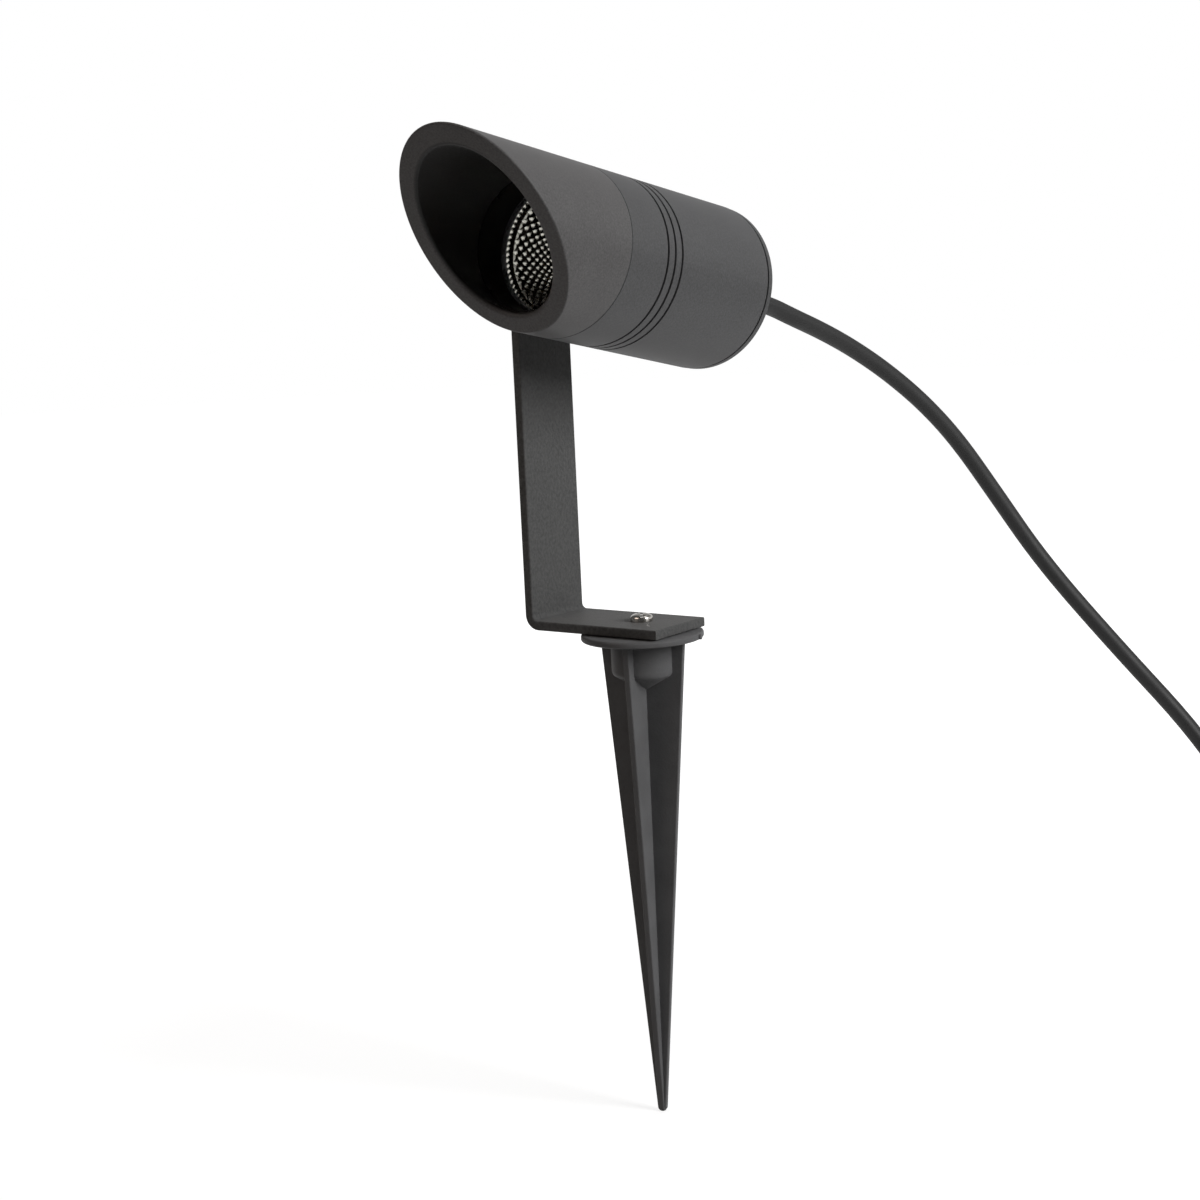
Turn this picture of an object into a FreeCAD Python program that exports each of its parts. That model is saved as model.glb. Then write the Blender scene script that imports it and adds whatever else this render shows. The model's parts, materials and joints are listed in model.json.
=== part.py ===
import FreeCAD, Part
import math
import os

from FreeCAD import Vector

os.makedirs("parts", exist_ok=True)

# A spotlight on a ground spike. All lengths are millimetres and all angles are degrees.
# +Z is up along the spike, the origin lies at ground level under the spike's flange,
# the foot of the bracket points to +X and the lamp head looks towards -Y.

# General allowances
overrun = 5.0
running_clearance = 0.06
seat_clearance = 0.05
match_tolerance = 0.005
quarter_turn = 90.0
full_turn = 360.0
hex_sides = 6

# Ground spike
flange_radius = 25.7
flange_thickness = 2.8
flange_edge_round = 1.0
pad_radius = 13.5
pad_height = 0.6
boss_radius = 13.5
boss_side_depth = 14.6
boss_cone_depth = 8.0
boss_round = 3.0
spike_depth = 206.6
rib_count = 4
rib_thickness = 2.6
rib_top_reach = 18.9
rib_tip_reach = 1.9
rib_point_length = 1.8
rib_edge_round = 0.5
rib_turn = 12.2
sprue_mark_radius = 1.1
sprue_mark_reach = 0.8
sprue_mark_bearing = 12.5

# Screw heads, as shares of the head's own radius or height
head_dome_share = 0.6
recess_arm_share = 1.1
recess_width_share = 0.28
recess_depth_share = 0.55

# Foot screw, which clamps the bracket to the spike
foot_screw_radius = 2.5
foot_screw_length = 15.0
foot_screw_head_radius = 4.7
foot_screw_head_height = 3.3
foot_screw_slot_width = 1.2
foot_screw_slot_depth = 1.3
foot_screw_hole_depth = 12.5
foot_screw_turn = -53.3

# Bracket bent from flat bar
bracket_width = 35.4
bracket_thickness = 4.0
bracket_bend_radius = 2.3
bracket_edge_round = 0.6
foot_reach = 19.5
strip_gap = 8.7

# Pivot at the top of the bracket
pivot_rise = 150.35
pivot_screw_radius = 3.0
pivot_screw_grip = 10.5
pivot_screw_head_radius = 5.25
pivot_screw_head_height = 3.3
pivot_socket_radius = 2.3
pivot_socket_depth = 1.9
pivot_washer_radius = 7.0
pivot_washer_thickness = 1.6
spring_washer_radius = 5.5
spring_washer_thickness = 1.6
spring_washer_split = 1.0
pivot_spacer_radius = 9.0
pivot_boss_radius = 8.0
pivot_boss_height = 6.5
head_tilt = 11.8

# Lamp head: places along its axis are counted from the pivot, forwards
head_radius = 35.0
seam_place = 44.9
body_rear_place = -53.1
body_wall = 4.5
body_edge_bevel = 0.7
seam_bevel = 0.35
groove_width = 1.3
groove_depth = 0.9
groove_pitch = 4.9
groove_count = 3
front_groove_place = 20.3
bulkhead_front_place = 18.0
bulkhead_thickness = 7.0
chamber_wall = 7.3
reflector_seat_depth = 1.2
spigot_length = 9.5
spigot_wall = 3.1
oring_radius = 0.8
oring_setback = 2.6

# Cowl with its slanted mouth
cowl_mouth_place = 93.7
cowl_mouth_angle = 47.7
cowl_wall = 7.6
cowl_outer_round = 0.7
cowl_inner_round = 1.6
cowl_shoulder_place = 62.7
cowl_pocket_wall = 3.0

# Glass, its gasket and its retaining ring
glass_thickness = 3.0
glass_gasket_thickness = 0.8
glass_gasket_width = 2.5
glass_ring_wall = 1.9
glass_ring_front_gap = 0.6
spanner_notch_width = 3.0
spanner_notch_depth = 1.5
spanner_notch_count = 4

# Faceted reflector
reflector_neck_radius = 8.0
reflector_neck_gap = 4.0
reflector_wall = 1.1
reflector_flange_thickness = 0.8
facet_columns = 40
facet_rows = 9

# Light source
pad_side = 20.0
pad_thickness = 0.3
board_side = 19.0
board_thickness = 1.3
emitter_radius = 7.0
emitter_thickness = 0.3
holder_radius = 16.0
holder_hole_radius = 7.5
holder_pocket_gap = 0.4
holder_roof = 1.7
holder_screw_offset = 13.0
small_screw_radius = 1.5
small_screw_length = 7.0
small_screw_head_radius = 2.6
small_screw_head_height = 1.6

# Driver and wiring in the rear of the body
driver_length = 38.0
driver_width = 34.0
driver_height = 22.0
driver_drop = 4.0
driver_pad_thickness = 1.0
driver_round = 1.5
terminal_length = 12.0
terminal_setback = 6.0
terminal_width = 24.0
terminal_height = 10.0
terminal_pole_count = 3
terminal_hole_radius = 1.6
wire_radius = 0.9
wire_spread = 2.1
led_wire_gap = 0.6
led_wire_hole_radius = 3.6
led_wire_offset = 11.4

# Rear cap
cap_thickness = 2.9
cap_inset = 0.2
cap_edge_bevel = 0.4
cap_spigot_length = 4.0
cap_gasket_thickness = 0.7
cap_gasket_inset = 0.9
cap_boss_radius = 4.0
cap_boss_length = 9.0
cap_boss_gap = 0.3
cap_screw_count = 3
cap_screw_inset = 4.1
cap_screw_length = 10.0
cap_screw_head_radius = 2.8
cap_screw_head_height = 1.7

# Cable gland
gland_thread_radius = 8.0
gland_hex_radius = 11.0
gland_hex_length = 5.0
gland_thread_length = 9.0
gland_nut_radius = 10.4
gland_nut_hex_length = 8.0
gland_nut_length = 20.0
gland_nut_nose_radius = 6.2
gland_nut_swell_share = 0.94
gland_nut_gap = 0.5
gland_seal_wall = 2.0
gland_seal_length = 9.0
gland_nose_thickness = 2.0
locknut_radius = 11.0
locknut_thickness = 3.0

# Power lead
lead_radius = 4.0
lead_inner_length = 38.0
lead_first_run = 24.0
lead_last_run = 28.0
corner_setback_share = 0.45
coil_centre_x = 235.0
coil_centre_y = 240.0
coil_start_radius = 51.5
coil_pitch = 8.6
coil_layer_height = 8.6
coil_turns_in = 1.75
coil_turns_out = 1.5
coil_arcs_per_turn = 4
coil_climb_turns = 0.5
coil_samples_per_turn = 60
tail_run = 18.0
plug_side_shift = -6.0
plug_distance = 66.0

# Moulded plug on the end of the lead
plug_radius = 19.0
plug_rear_radius = 11.0
plug_waist_radius = 15.5
plug_body_length = 38.0
plug_front_length = 14.0
plug_waist_place = 12.0
plug_edge_round = 1.5
plug_grip_depth = 1.2
plug_grip_width = 2.2
plug_grip_count = 12
relief_length = 30.0
relief_tip_radius = 5.6
relief_root_radius = 8.5
relief_slot_width = 1.6
relief_slot_pitch = 5.0
relief_slot_count = 4
pin_radius = 2.4
pin_length = 19.0
pin_spacing = 19.0
pin_tip_round = 1.0
earth_strip_width = 6.0
earth_strip_thickness = 1.2
earth_strip_length = 12.0

# Places that follow from the sizes above
foot_bottom = flange_thickness + pad_height
foot_top = foot_bottom + bracket_thickness
pivot_height = foot_bottom + pivot_rise
half_width = bracket_width / 2
strip_offset = head_radius + strip_gap
floor_height = -spike_depth
lead_floor_height = floor_height + lead_radius
body_inner_radius = head_radius - body_wall
chamber_radius = head_radius - chamber_wall
cowl_bore_radius = head_radius - cowl_wall
cap_screw_circle = body_inner_radius - cap_screw_inset
spigot_radius = head_radius - cowl_pocket_wall - seat_clearance
glass_pocket_radius = spigot_radius - spigot_wall
disc_radius = glass_pocket_radius - seat_clearance
reflector_rim_radius = disc_radius - glass_gasket_width
reflector_seat_place = seam_place - reflector_seat_depth
reflector_rim_place = reflector_seat_place + reflector_flange_thickness
glass_rear_place = reflector_rim_place + glass_gasket_thickness
glass_front_place = glass_rear_place + glass_thickness
spigot_front_place = seam_place + spigot_length
ring_front_place = cowl_shoulder_place - glass_ring_front_gap
bulkhead_rear_place = bulkhead_front_place - bulkhead_thickness
board_place = bulkhead_front_place + pad_thickness
emitter_place = board_place + board_thickness
holder_top_place = bulkhead_front_place + reflector_neck_gap
cap_front_place = body_rear_place - cap_gasket_thickness
cap_rear_place = cap_front_place - cap_thickness
cap_inner_place = cap_front_place + cap_spigot_length
gland_face_place = cap_rear_place - gland_hex_length
gland_nut_front_place = gland_face_place - gland_nut_gap
gland_mouth_place = gland_nut_front_place - gland_nut_length
thread_end_place = cap_inner_place + locknut_thickness + gland_nose_thickness


# Small helpers

def along_x(radius, start, end):
    return Part.makeCylinder(radius, end - start, Vector(start, 0, 0), Vector(1, 0, 0))


def along_z(radius, start, end, x=0.0, y=0.0):
    return Part.makeCylinder(radius, end - start, Vector(x, y, start))


def block(x_limits, y_limits, z_limits):
    lows = [min(limits) for limits in (x_limits, y_limits, z_limits)]
    sizes = [max(limits) - min(limits) for limits in (x_limits, y_limits, z_limits)]
    return Part.makeBox(*sizes, Vector(*lows))


def revolved(profile):
    """Turn an outline of (radius, height) points about the Z axis."""
    points = [Vector(radius, 0, height) for radius, height in profile]
    face = Part.Face(Part.makePolygon(points + points[:1]))
    return face.revolve(Vector(0, 0, 0), Vector(0, 0, 1), full_turn)


def tube(outer, inner, start, end):
    return revolved([(inner, start), (outer, start), (outer, end), (inner, end)])


def hexagon(corner_radius, start, end):
    corners = []
    for step in range(hex_sides + 1):
        angle = 2 * math.pi * step / hex_sides
        corners.append(Vector(corner_radius * math.cos(angle), corner_radius * math.sin(angle), start))
    return Part.Face(Part.makePolygon(corners)).extrude(Vector(0, 0, end - start))


def hex_nut(corner_radius, bore, start, end):
    return hexagon(corner_radius, start, end).cut(along_z(bore, start - overrun, end + overrun))


def around(shape, count, first_bearing=0.0):
    """Copies of a shape spread evenly about the Z axis."""
    copies = []
    for index in range(count):
        copy = shape.copy()
        copy.rotate(Vector(0, 0, 0), Vector(0, 0, 1), first_bearing + index * full_turn / count)
        copies.append(copy)
    return copies


def circle_edges(shape, radius, height):
    """Edges of full circles of one radius at one height about the Z axis."""
    found = []
    for edge in shape.Edges:
        if not isinstance(edge.Curve, Part.Circle):
            continue
        right_size = math.isclose(edge.Curve.Radius, radius, abs_tol=match_tolerance)
        right_place = math.isclose(edge.Curve.Center.z, height, abs_tol=match_tolerance)
        if right_size and right_place:
            found.append(edge)
    return found


def aimed(shape):
    """Carry a piece of the head from its own axis to its place on the bracket."""
    placed = shape.copy()
    placed.rotate(Vector(0, 0, 0), Vector(1, 0, 0), quarter_turn - head_tilt)
    placed.translate(Vector(0, 0, pivot_height))
    return placed


def head_point(x, rise, place):
    """Where a point of the head's own axes lies once the head is tilted."""
    tilt = math.radians(head_tilt)
    y = rise * math.sin(tilt) - place * math.cos(tilt)
    z = rise * math.cos(tilt) + place * math.sin(tilt)
    return Vector(x, y, pivot_height + z)


def save(name, shape):
    solids = len(shape.Solids)
    print(name, "solids", solids, "valid", shape.isValid(), "volume", round(shape.Volume, 1))
    shape.exportStep("parts/" + name + ".step")


# Screws stand on z = 0 with their heads up

def domed_head(radius, height):
    head = Part.makeCylinder(radius, height)
    return head.makeFillet(head_dome_share * height, circle_edges(head, radius, height))


def cross_recess(head_radius, head_height):
    arm_length = recess_arm_share * head_radius
    arm_width = recess_width_share * head_radius
    depth = recess_depth_share * head_height
    arms = []
    for length, width in ((arm_length, arm_width), (arm_width, arm_length)):
        arms.append(block((-length / 2, length / 2), (-width / 2, width / 2),
                          (head_height - depth, head_height + overrun)))
    return arms[0].fuse(arms[1])


def cross_screw(radius, length, head_radius, head_height):
    shank = along_z(radius, -length, head_height / 2)
    return domed_head(head_radius, head_height).fuse(shank).cut(cross_recess(head_radius, head_height))


# Ground spike and foot screw

def rib_plate():
    """One flat blade that makes two opposite ribs, drawn from the flange down to the point."""
    point_start = -spike_depth + rib_point_length
    outline = [
        Part.LineSegment(Vector(-rib_top_reach, 0, 0), Vector(rib_top_reach, 0, 0)),
        Part.LineSegment(Vector(rib_top_reach, 0, 0), Vector(rib_tip_reach, 0, point_start)),
        Part.Arc(Vector(rib_tip_reach, 0, point_start), Vector(0, 0, -spike_depth),
                 Vector(-rib_tip_reach, 0, point_start)),
        Part.LineSegment(Vector(-rib_tip_reach, 0, point_start), Vector(-rib_top_reach, 0, 0)),
    ]
    face = Part.Face(Part.Wire([piece.toShape() for piece in outline]))
    plate = face.extrude(Vector(0, rib_thickness, 0))
    plate.translate(Vector(0, -rib_thickness / 2, 0))
    long_edges = [edge for edge in plate.Edges if edge.Length > spike_depth / 2]
    return plate.makeFillet(rib_edge_round, long_edges)


def spike_boss():
    """A short round pillar under the flange, which ends in a flat cone."""
    tip_height = -boss_side_depth - boss_cone_depth
    boss = revolved([(0, 0), (boss_radius, 0), (boss_radius, -boss_side_depth), (0, tip_height)])
    return boss.makeFillet(boss_round, circle_edges(boss, boss_radius, -boss_side_depth))


def spike_flange():
    flange = along_z(flange_radius, 0, flange_thickness)
    rims = circle_edges(flange, flange_radius, 0) + circle_edges(flange, flange_radius, flange_thickness)
    flange = flange.makeFillet(flange_edge_round, rims)
    mark = Part.makeCylinder(sprue_mark_radius, flange_radius + sprue_mark_reach,
                             Vector(0, 0, flange_thickness / 2), Vector(1, 0, 0))
    mark.rotate(Vector(0, 0, 0), Vector(0, 0, 1), sprue_mark_bearing)
    return flange.fuse(along_z(pad_radius, 0, foot_bottom)).fuse(mark)


def make_spike():
    spike = spike_flange().fuse(spike_boss())
    for index in range(rib_count // 2):
        plate = rib_plate()
        bearing = rib_turn - quarter_turn + index * full_turn / rib_count
        plate.rotate(Vector(0, 0, 0), Vector(0, 0, 1), bearing)
        spike = spike.fuse(plate)
    hole = along_z(foot_screw_radius + seat_clearance, foot_bottom - foot_screw_hole_depth - pad_height,
                   foot_bottom + overrun)
    save("ground_spike", spike.cut(hole).removeSplitter())


def make_foot_screw():
    """A screw for both kinds of driver: a cross recess, and a slot across the whole head."""
    screw = cross_screw(foot_screw_radius, foot_screw_length, foot_screw_head_radius, foot_screw_head_height)
    reach = foot_screw_head_radius + overrun
    slot = block((-reach, reach), (-foot_screw_slot_width / 2, foot_screw_slot_width / 2),
                 (foot_screw_head_height - foot_screw_slot_depth, foot_screw_head_height + overrun))
    screw = screw.cut(slot)
    screw.rotate(Vector(0, 0, 0), Vector(0, 0, 1), foot_screw_turn)
    screw.translate(Vector(0, 0, foot_top))
    save("foot_screw", screw)


# Bracket: an L of flat bar with one sharp inner bend and a round top end

def bracket_blank():
    outer_bend = bracket_bend_radius + bracket_thickness
    inner_x = -strip_offset
    outer_x = inner_x - bracket_thickness
    bend_x = inner_x + bracket_bend_radius
    bend_z = foot_top + bracket_bend_radius
    top = pivot_height + half_width
    slant = math.sqrt(0.5)

    def at(x, z):
        return Vector(x, -half_width, z)

    inner_mid = at(bend_x - bracket_bend_radius * slant, bend_z - bracket_bend_radius * slant)
    outer_mid = at(bend_x - outer_bend * slant, bend_z - outer_bend * slant)
    outline = [
        Part.LineSegment(at(foot_reach, foot_bottom), at(foot_reach, foot_top)),
        Part.LineSegment(at(foot_reach, foot_top), at(bend_x, foot_top)),
        Part.Arc(at(bend_x, foot_top), inner_mid, at(inner_x, bend_z)),
        Part.LineSegment(at(inner_x, bend_z), at(inner_x, top)),
        Part.LineSegment(at(inner_x, top), at(outer_x, top)),
        Part.LineSegment(at(outer_x, top), at(outer_x, bend_z)),
        Part.Arc(at(outer_x, bend_z), outer_mid, at(bend_x, foot_bottom)),
        Part.LineSegment(at(bend_x, foot_bottom), at(foot_reach, foot_bottom)),
    ]
    face = Part.Face(Part.Wire([piece.toShape() for piece in outline]))
    return face.extrude(Vector(0, bracket_width, 0))


def strip_end_waste():
    """What is cut from the square end of the strip to leave it round about the pivot."""
    start = -strip_offset - bracket_thickness - overrun
    end = -strip_offset + overrun
    square = block((start, end), (-half_width - overrun, half_width + overrun),
                   (0, half_width + overrun))
    waste = square.cut(along_x(half_width, start - overrun, end + overrun))
    waste.translate(Vector(0, 0, pivot_height))
    return waste


def runs_along_side(edge):
    """Whether an edge of the bar is a long one on its front or its back."""
    sides = [vertex.Point.y for vertex in edge.Vertexes]
    on_side = all(math.isclose(abs(side), half_width, abs_tol=match_tolerance) for side in sides)
    lengthwise = math.isclose(sides[0], sides[-1], abs_tol=match_tolerance)
    return on_side and lengthwise and edge.Length > bracket_thickness


def make_bracket():
    bar = bracket_blank().cut(strip_end_waste())
    rounded = [edge for edge in bar.Edges if runs_along_side(edge)]
    for edge in bar.Edges:
        if edge.BoundBox.XMin > foot_reach - bracket_edge_round and edge.Length > half_width:
            rounded.append(edge)
    bar = bar.makeFillet(bracket_edge_round, rounded)
    foot_hole = along_z(foot_screw_radius + running_clearance, foot_bottom - overrun, foot_top + overrun)
    pivot_hole = along_x(pivot_screw_radius + running_clearance,
                         -strip_offset - bracket_thickness - overrun, -strip_offset + overrun)
    pivot_hole.translate(Vector(0, 0, pivot_height))
    save("bracket", bar.cut(foot_hole).cut(pivot_hole))


# Pivot: spacer, washers and socket screw, drawn about the X axis of the untilted head

def make_pivot():
    strip_outer = -strip_offset - bracket_thickness
    washer_outer = strip_outer - pivot_washer_thickness
    spring_outer = washer_outer - spring_washer_thickness
    shank_end = -head_radius + pivot_screw_grip
    hole = pivot_screw_radius + seat_clearance

    spacer = along_x(pivot_spacer_radius, -strip_offset, -body_inner_radius)
    spacer = spacer.cut(along_z(head_radius + seat_clearance, -head_radius, head_radius))
    spacer = spacer.cut(along_x(hole, -strip_offset - overrun, 0))
    save("pivot_spacer", aimed(spacer))

    washer = along_x(pivot_washer_radius, washer_outer, strip_outer)
    save("pivot_washer", aimed(washer.cut(along_x(hole, washer_outer - overrun, strip_outer + overrun))))

    spring = along_x(spring_washer_radius, spring_outer, washer_outer)
    spring = spring.cut(along_x(hole, spring_outer - overrun, washer_outer + overrun))
    split = block((spring_outer - overrun, washer_outer + overrun),
                  (-spring_washer_split / 2, spring_washer_split / 2), (0, spring_washer_radius + overrun))
    save("pivot_spring_washer", aimed(spring.cut(split)))

    screw = domed_head(pivot_screw_head_radius, pivot_screw_head_height)
    shank_length = shank_end - spring_outer
    screw = screw.fuse(along_z(pivot_screw_radius, -shank_length, 0))
    screw = screw.cut(hexagon(pivot_socket_radius, pivot_screw_head_height - pivot_socket_depth,
                              pivot_screw_head_height + overrun))
    screw.rotate(Vector(0, 0, 0), Vector(0, 1, 0), -quarter_turn)
    screw.translate(Vector(spring_outer, 0, 0))
    save("pivot_screw", aimed(screw))


# Head body: a turned tube with a bulkhead, a front spigot and lugs for the rear cap

def body_shell():
    outer = revolved([
        (0, body_rear_place),
        (head_radius, body_rear_place),
        (head_radius, seam_place),
        (spigot_radius, seam_place),
        (spigot_radius, spigot_front_place),
        (0, spigot_front_place),
    ])
    outer = outer.makeChamfer(body_edge_bevel, circle_edges(outer, head_radius, body_rear_place))
    outer = outer.makeChamfer(seam_bevel, circle_edges(outer, head_radius, seam_place))
    outer = outer.cut(along_z(glass_pocket_radius, reflector_seat_place, spigot_front_place + overrun))
    outer = outer.cut(along_z(chamber_radius, bulkhead_front_place, seam_place))
    return outer.cut(along_z(body_inner_radius, body_rear_place - overrun, bulkhead_rear_place))


def groove_cutters():
    cutters = []
    for index in range(groove_count):
        place = front_groove_place - index * groove_pitch
        cutters.append(tube(head_radius + overrun, head_radius - groove_depth,
                            place - groove_width / 2, place + groove_width / 2))
    groove_place = seam_place + oring_setback
    cutters.append(tube(spigot_radius + overrun, spigot_radius - 2 * oring_radius,
                        groove_place - oring_radius - seat_clearance,
                        groove_place + oring_radius + seat_clearance))
    return cutters


def cap_lugs():
    start = cap_inner_place + cap_boss_gap
    lug = along_z(cap_boss_radius, start, start + cap_boss_length, cap_screw_circle)
    rib = block((cap_screw_circle, body_inner_radius + body_wall / 2),
                (-cap_boss_radius, cap_boss_radius), (start, start + cap_boss_length))
    lug = lug.fuse(rib)
    return around(lug.common(along_z(body_inner_radius + body_wall / 2, start, start + cap_boss_length)),
                  cap_screw_count, quarter_turn)


def make_body():
    body = body_shell()
    for lug in cap_lugs():
        body = body.fuse(lug)
    body = body.fuse(along_x(pivot_boss_radius, -body_inner_radius - body_wall / 2,
                             -body_inner_radius + pivot_boss_height))
    cutters = groove_cutters()
    tap = small_screw_radius + seat_clearance
    for tapping in cap_screw_holes(tap, cap_inner_place - overrun, cap_inner_place + cap_screw_length):
        cutters.append(tapping)
    for side in (-1, 1):
        cutters.append(along_z(tap, bulkhead_front_place - small_screw_length,
                               bulkhead_front_place + overrun, side * holder_screw_offset))
    cutters.append(along_x(pivot_screw_radius + seat_clearance, -head_radius - overrun,
                           -head_radius + pivot_screw_grip + seat_clearance))
    cutters.append(along_z(led_wire_hole_radius, bulkhead_rear_place - overrun,
                           bulkhead_front_place + overrun, 0, -led_wire_offset - led_wire_gap))
    for cutter in cutters:
        body = body.cut(cutter)
    save("head_body", aimed(body))
    ring = Part.makeTorus(spigot_radius - oring_radius - seat_clearance, oring_radius - seat_clearance,
                          Vector(0, 0, seam_place + oring_setback))
    save("cowl_seal", aimed(ring))


def cap_screw_holes(radius, start, end):
    hole = along_z(radius, start, end, cap_screw_circle)
    return around(hole, cap_screw_count, quarter_turn)


# Cowl: a thick tube cut off at a slant, with its long lip on top

def slanted_waste():
    reach = 4 * head_radius
    waste = Part.makeBox(2 * reach, 2 * reach, 2 * reach, Vector(-reach, -reach, 0))
    waste.rotate(Vector(0, 0, 0), Vector(1, 0, 0), quarter_turn - cowl_mouth_angle)
    waste.translate(Vector(0, 0, cowl_mouth_place))
    return waste


def slanted_edges(shape, radius):
    """Edges of the slanted mouth that lie on a cylinder of this radius."""
    found = []
    for edge in shape.Edges:
        middle = edge.valueAt((edge.FirstParameter + edge.LastParameter) / 2)
        ends = [vertex.Point for vertex in edge.Vertexes] + [middle]
        on_cylinder = all(math.isclose(math.hypot(point.x, point.y), radius, abs_tol=match_tolerance)
                          for point in ends)
        if on_cylinder and edge.BoundBox.ZLength > radius:
            found.append(edge)
    return found


def make_cowl():
    lip_place = cowl_mouth_place + head_radius / math.tan(math.radians(cowl_mouth_angle)) + overrun
    cowl = along_z(head_radius, seam_place, lip_place)
    cowl = cowl.makeChamfer(seam_bevel, circle_edges(cowl, head_radius, seam_place))
    cowl = cowl.cut(along_z(cowl_bore_radius, seam_place - overrun, lip_place + overrun))
    cowl = cowl.cut(slanted_waste())
    cowl = cowl.makeFillet(cowl_outer_round, slanted_edges(cowl, head_radius))
    cowl = cowl.makeFillet(cowl_inner_round, slanted_edges(cowl, cowl_bore_radius))
    cowl = cowl.cut(along_z(head_radius - cowl_pocket_wall, seam_place - overrun,
                            spigot_front_place + glass_ring_front_gap))
    cowl = cowl.cut(along_z(glass_pocket_radius + seat_clearance, seam_place, cowl_shoulder_place))
    save("cowl", aimed(cowl))


# Glass, gasket and ring

def make_glazing():
    gasket = tube(disc_radius, reflector_rim_radius, reflector_rim_place, glass_rear_place)
    save("glass_gasket", aimed(gasket))
    glass = along_z(disc_radius, glass_rear_place, glass_front_place)
    save("front_glass", aimed(glass))
    ring = tube(disc_radius, disc_radius - glass_ring_wall, glass_front_place, ring_front_place)
    notch = block((0, disc_radius + overrun), (-spanner_notch_width / 2, spanner_notch_width / 2),
                  (ring_front_place - spanner_notch_depth, ring_front_place + overrun))
    for cutter in around(notch, spanner_notch_count, quarter_turn / 2):
        ring = ring.cut(cutter)
    save("glass_ring", aimed(ring))


# Reflector: a bowl whose inside is cut into rows of flat facets

def bowl_height(radius):
    """Height of the parabola through the reflector's neck and rim."""
    depth = reflector_rim_place - holder_top_place
    spread = reflector_rim_radius ** 2 - reflector_neck_radius ** 2
    return holder_top_place + depth * (radius ** 2 - reflector_neck_radius ** 2) / spread


def facet_ring(row):
    share = row / facet_rows
    radius = reflector_neck_radius + (reflector_rim_radius - reflector_neck_radius) * share
    offset = (row % 2) / 2
    ring = []
    for column in range(facet_columns):
        angle = 2 * math.pi * (column + offset) / facet_columns
        ring.append(Vector(radius * math.cos(angle), radius * math.sin(angle), bowl_height(radius)))
    return ring


def facet_core():
    """The closed many-sided plug that shapes the inside of the bowl."""
    rings = [facet_ring(row) for row in range(facet_rows + 1)]
    lift = Vector(0, 0, reflector_flange_thickness)
    rings.append([corner + lift for corner in rings[-1]])
    rings.insert(0, [corner - lift for corner in rings[0]])
    faces = []
    for row, (lower, upper) in enumerate(zip(rings, rings[1:])):
        bowl_row = row - 1
        straight = bowl_row < 0 or bowl_row >= facet_rows
        for column in range(facet_columns):
            following = (column + 1) % facet_columns
            if straight:
                corners = [lower[column], lower[following], upper[following], upper[column]]
                faces.append(Part.Face(Part.makePolygon(corners + corners[:1])))
                continue
            if bowl_row % 2 == 0:
                triangles = [(lower[column], lower[following], upper[column]),
                             (lower[following], upper[following], upper[column])]
            else:
                triangles = [(lower[column], upper[following], upper[column]),
                             (lower[column], lower[following], upper[following])]
            for triangle in triangles:
                faces.append(Part.Face(Part.makePolygon(list(triangle) + [triangle[0]])))
    for ring in (rings[0], rings[-1]):
        faces.append(Part.Face(Part.makePolygon(ring + ring[:1])))
    return Part.Solid(Part.Shell(faces))


def make_reflector():
    outline = []
    steps = facet_rows
    for step in range(steps + 1):
        share = step / steps
        radius = reflector_neck_radius + (reflector_rim_radius - reflector_neck_radius) * share
        outline.append((radius + reflector_wall, bowl_height(radius)))
    outline[-1] = (reflector_rim_radius + reflector_wall, reflector_seat_place)
    outline.append((disc_radius, reflector_seat_place))
    outline.append((disc_radius, reflector_rim_place))
    outline.append((0, reflector_rim_place))
    outline.append((0, holder_top_place))
    save("reflector", aimed(revolved(outline).cut(facet_core())))


# Light source on the bulkhead

def make_light_source():
    half_pad = pad_side / 2
    half_board = board_side / 2
    pad = block((-half_pad, half_pad), (-half_pad, half_pad), (bulkhead_front_place, board_place))
    save("thermal_pad", aimed(pad))
    board = block((-half_board, half_board), (-half_board, half_board), (board_place, emitter_place))
    save("led_board", aimed(board))
    emitter = along_z(emitter_radius, emitter_place, emitter_place + emitter_thickness)
    save("led_emitter", aimed(emitter))
    save("led_holder", aimed(holder_shape()))
    screws = []
    for side in (-1, 1):
        screw = cross_screw(small_screw_radius, small_screw_length, small_screw_head_radius,
                            small_screw_head_height)
        head_seat = holder_top_place - small_screw_head_height - seat_clearance
        screw.translate(Vector(side * holder_screw_offset, 0, head_seat))
        screws.append(screw)
    save("holder_screws", aimed(Part.makeCompound(screws)))


def holder_shape():
    pocket_half = pad_side / 2 + holder_pocket_gap
    pocket_top = holder_top_place - holder_roof
    holder = along_z(holder_radius, bulkhead_front_place, holder_top_place)
    holder = holder.cut(block((-pocket_half, pocket_half), (-holder_radius + holder_roof, pocket_half),
                              (bulkhead_front_place - overrun, pocket_top)))
    holder = holder.cut(along_z(holder_hole_radius, bulkhead_front_place, holder_top_place + overrun))
    head_seat = holder_top_place - small_screw_head_height - seat_clearance
    for side in (-1, 1):
        offset = side * holder_screw_offset
        holder = holder.cut(along_z(small_screw_radius + seat_clearance, bulkhead_front_place - overrun,
                                    holder_top_place + overrun, offset))
        holder = holder.cut(along_z(small_screw_head_radius + seat_clearance, head_seat,
                                    holder_top_place + overrun, offset))
    return holder


# Driver, terminal block and wires in the rear of the body

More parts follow.
